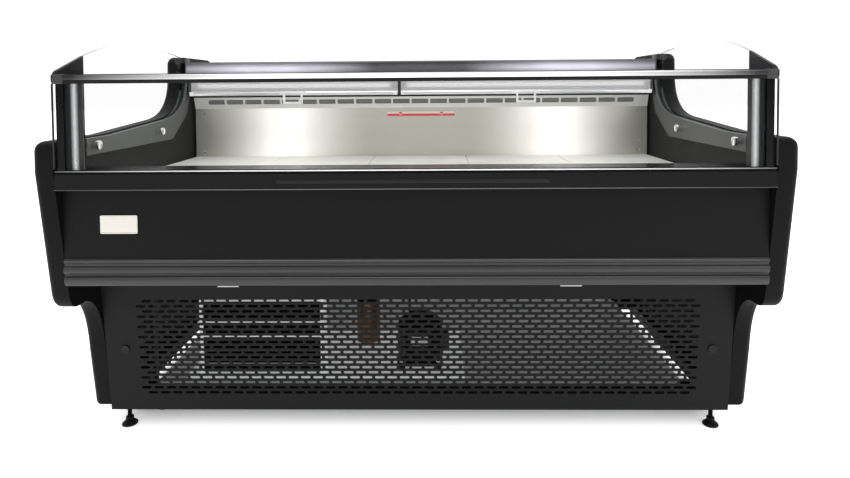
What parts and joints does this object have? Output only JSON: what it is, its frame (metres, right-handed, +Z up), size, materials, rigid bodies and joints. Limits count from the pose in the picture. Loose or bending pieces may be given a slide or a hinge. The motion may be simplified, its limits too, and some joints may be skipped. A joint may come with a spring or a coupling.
{
  "type": "refrigerated deli case",
  "caption": "Open refrigerated deli display case with low front glass, moulded black ends, pull-out night blinds and a slotted plinth.",
  "frame": {"origin": "on the floor under the middle of the case", "axes": "+X towards the viewer's right along the case, front faces -Y, +Z up"},
  "size_m": [2.026, 1.15, 1.22],
  "materials": {
    "moulded_black": "fine leather grain, satin",
    "painted_black": "powder coat, matte",
    "gloss_black": "polished",
    "charcoal_paint": "powder coat, satin",
    "grey_trim": "satin",
    "stainless": "brushed lengthwise",
    "galvanised": "zinc coated, semi-matte",
    "aluminium": "anodised, satin",
    "chrome": "polished",
    "glass": "clear tempered",
    "clear_plastic": "clear moulded cover",
    "white_plastic": "smooth",
    "black_plastic": "smooth",
    "green_plastic": "smooth",
    "rubber": "matte",
    "copper": "bare copper tube",
    "blind_foil": "aluminised woven sheet"
  },
  "bodies": {
    "root": {"end_panel_left": "moulded_black", "end_panel_right": "moulded_black", "base_frame": "painted_black", "tub": "charcoal_paint", "front_panel": "painted_black", "front_ledge": "gloss_black", "front_bumper": "black_plastic", "front_glass": "glass", "front_rail": "gloss_black", "corner_posts": "charcoal_paint", "side_glass_left": "glass", "side_glass_right": "glass", "glass_brackets": "painted_black", "side_liners": "charcoal_paint", "side_trims": "grey_trim", "glass_knobs": "chrome", "duct_panel": "stainless", "air_outlet": "stainless", "canopy": "painted_black", "lamp_covers": "clear_plastic", "lamps": "white_plastic", "return_grille": "stainless", "deck_supports": "galvanised", "evaporator_coil": "aluminium", "evaporator_shroud": "stainless", "drain_trap": "black_plastic", "base_tray": "galvanised", "unit_base": "galvanised", "compressor": "painted_black", "compressor_mounts": "rubber", "condenser_coil": "aluminium", "condenser_shroud": "painted_black", "condenser_motor": "painted_black", "pipework": "copper", "plinth_grille": "charcoal_paint", "panel_screws": "black_plastic", "rear_grille": "charcoal_paint", "control_box": "black_plastic", "power_inlet": "black_plastic", "nameplate": "stainless"},
    "blind_left": {"blind_bar_left": "aluminium", "blind_sheet_left": "blind_foil"},
    "blind_roller_left": {"blind_roller_left": "white_plastic"},
    "blind_right": {"blind_bar_right": "aluminium", "blind_sheet_right": "blind_foil"},
    "blind_roller_right": {"blind_roller_right": "white_plastic"},
    "deck_tray_1": {"deck_tray_1": "stainless"},
    "deck_tray_2": {"deck_tray_2": "stainless"},
    "deck_tray_3": {"deck_tray_3": "stainless"},
    "deck_tray_4": {"deck_tray_4": "stainless"},
    "deck_tray_5": {"deck_tray_5": "stainless"},
    "condenser_fan": {"condenser_fan": "aluminium"},
    "evaporator_fan_left": {"evaporator_fan_left": "black_plastic"},
    "evaporator_fan_right": {"evaporator_fan_right": "black_plastic"},
    "foot_front_left": {"foot_front_left": "black_plastic"},
    "foot_front_right": {"foot_front_right": "black_plastic"},
    "foot_rear_left": {"foot_rear_left": "black_plastic"},
    "foot_rear_right": {"foot_rear_right": "black_plastic"},
    "light_switch": {"light_switch": "black_plastic"},
    "main_switch": {"main_switch": "green_plastic"}
  },
  "joints": [
    {"name": "blind_left_pull", "type": "slide", "parent": "root", "child": "blind_left", "axis": [0, -0.9987, 0.0519], "range_m": [0, 0.725], "deforming": ["blind_sheet_left"]},
    {"name": "blind_left_roll", "type": "hinge", "parent": "root", "child": "blind_roller_left", "pos_m": [0, 0.296, 1.062], "axis": [1, 0, 0], "range_deg": [0, 2307.7]},
    {"name": "blind_right_pull", "type": "slide", "parent": "root", "child": "blind_right", "axis": [0, -0.9987, 0.0519], "range_m": [0, 0.725], "deforming": ["blind_sheet_right"]},
    {"name": "blind_right_roll", "type": "hinge", "parent": "root", "child": "blind_roller_right", "pos_m": [0, 0.296, 1.062], "axis": [1, 0, 0], "range_deg": [0, 2307.7]},
    {"name": "deck_tray_1_lift", "type": "slide", "parent": "root", "child": "deck_tray_1", "axis": [0, 0, 1], "range_m": [0, 0.09]},
    {"name": "deck_tray_2_lift", "type": "slide", "parent": "root", "child": "deck_tray_2", "axis": [0, 0, 1], "range_m": [0, 0.18]},
    {"name": "deck_tray_3_lift", "type": "slide", "parent": "root", "child": "deck_tray_3", "axis": [0, 0, 1], "range_m": [0, 0.18]},
    {"name": "deck_tray_4_lift", "type": "slide", "parent": "root", "child": "deck_tray_4", "axis": [0, 0, 1], "range_m": [0, 0.18]},
    {"name": "deck_tray_5_lift", "type": "slide", "parent": "root", "child": "deck_tray_5", "axis": [0, 0, 1], "range_m": [0, 0.09]},
    {"name": "condenser_fan_spin", "type": "hinge", "parent": "root", "child": "condenser_fan", "pos_m": [-0.5075, -0.133, 0.265], "axis": [0, 1, 0], "continuous": true},
    {"name": "evaporator_fan_left_spin", "type": "hinge", "parent": "root", "child": "evaporator_fan_left", "pos_m": [-0.32, 0.047, 0.65], "axis": [0, 1, 0], "continuous": true},
    {"name": "evaporator_fan_right_spin", "type": "hinge", "parent": "root", "child": "evaporator_fan_right", "pos_m": [0.32, 0.047, 0.65], "axis": [0, 1, 0], "continuous": true},
    {"name": "foot_front_left_turn", "type": "hinge", "parent": "root", "child": "foot_front_left", "pos_m": [-0.925, -0.265, 0], "axis": [0, 0, 1], "continuous": true},
    {"name": "foot_front_right_turn", "type": "hinge", "parent": "root", "child": "foot_front_right", "pos_m": [0.925, -0.265, 0], "axis": [0, 0, 1], "continuous": true},
    {"name": "foot_rear_left_turn", "type": "hinge", "parent": "root", "child": "foot_rear_left", "pos_m": [-0.925, 0.5, 0], "axis": [0, 0, 1], "continuous": true},
    {"name": "foot_rear_right_turn", "type": "hinge", "parent": "root", "child": "foot_rear_right", "pos_m": [0.925, 0.5, 0], "axis": [0, 0, 1], "continuous": true},
    {"name": "light_switch_rock", "type": "hinge", "parent": "root", "child": "light_switch", "pos_m": [0.72, 0.565, 0.345], "axis": [1, 0, 0], "range_deg": [-12, 0]},
    {"name": "main_switch_rock", "type": "hinge", "parent": "root", "child": "main_switch", "pos_m": [0.765, 0.565, 0.345], "axis": [1, 0, 0], "range_deg": [-12, 0]}
  ],
  "couplings": [
    {"joint": "blind_left_roll", "follows": "blind_left_pull", "rad_per_m": 55.556},
    {"joint": "blind_right_roll", "follows": "blind_right_pull", "rad_per_m": 55.556}
  ]
}
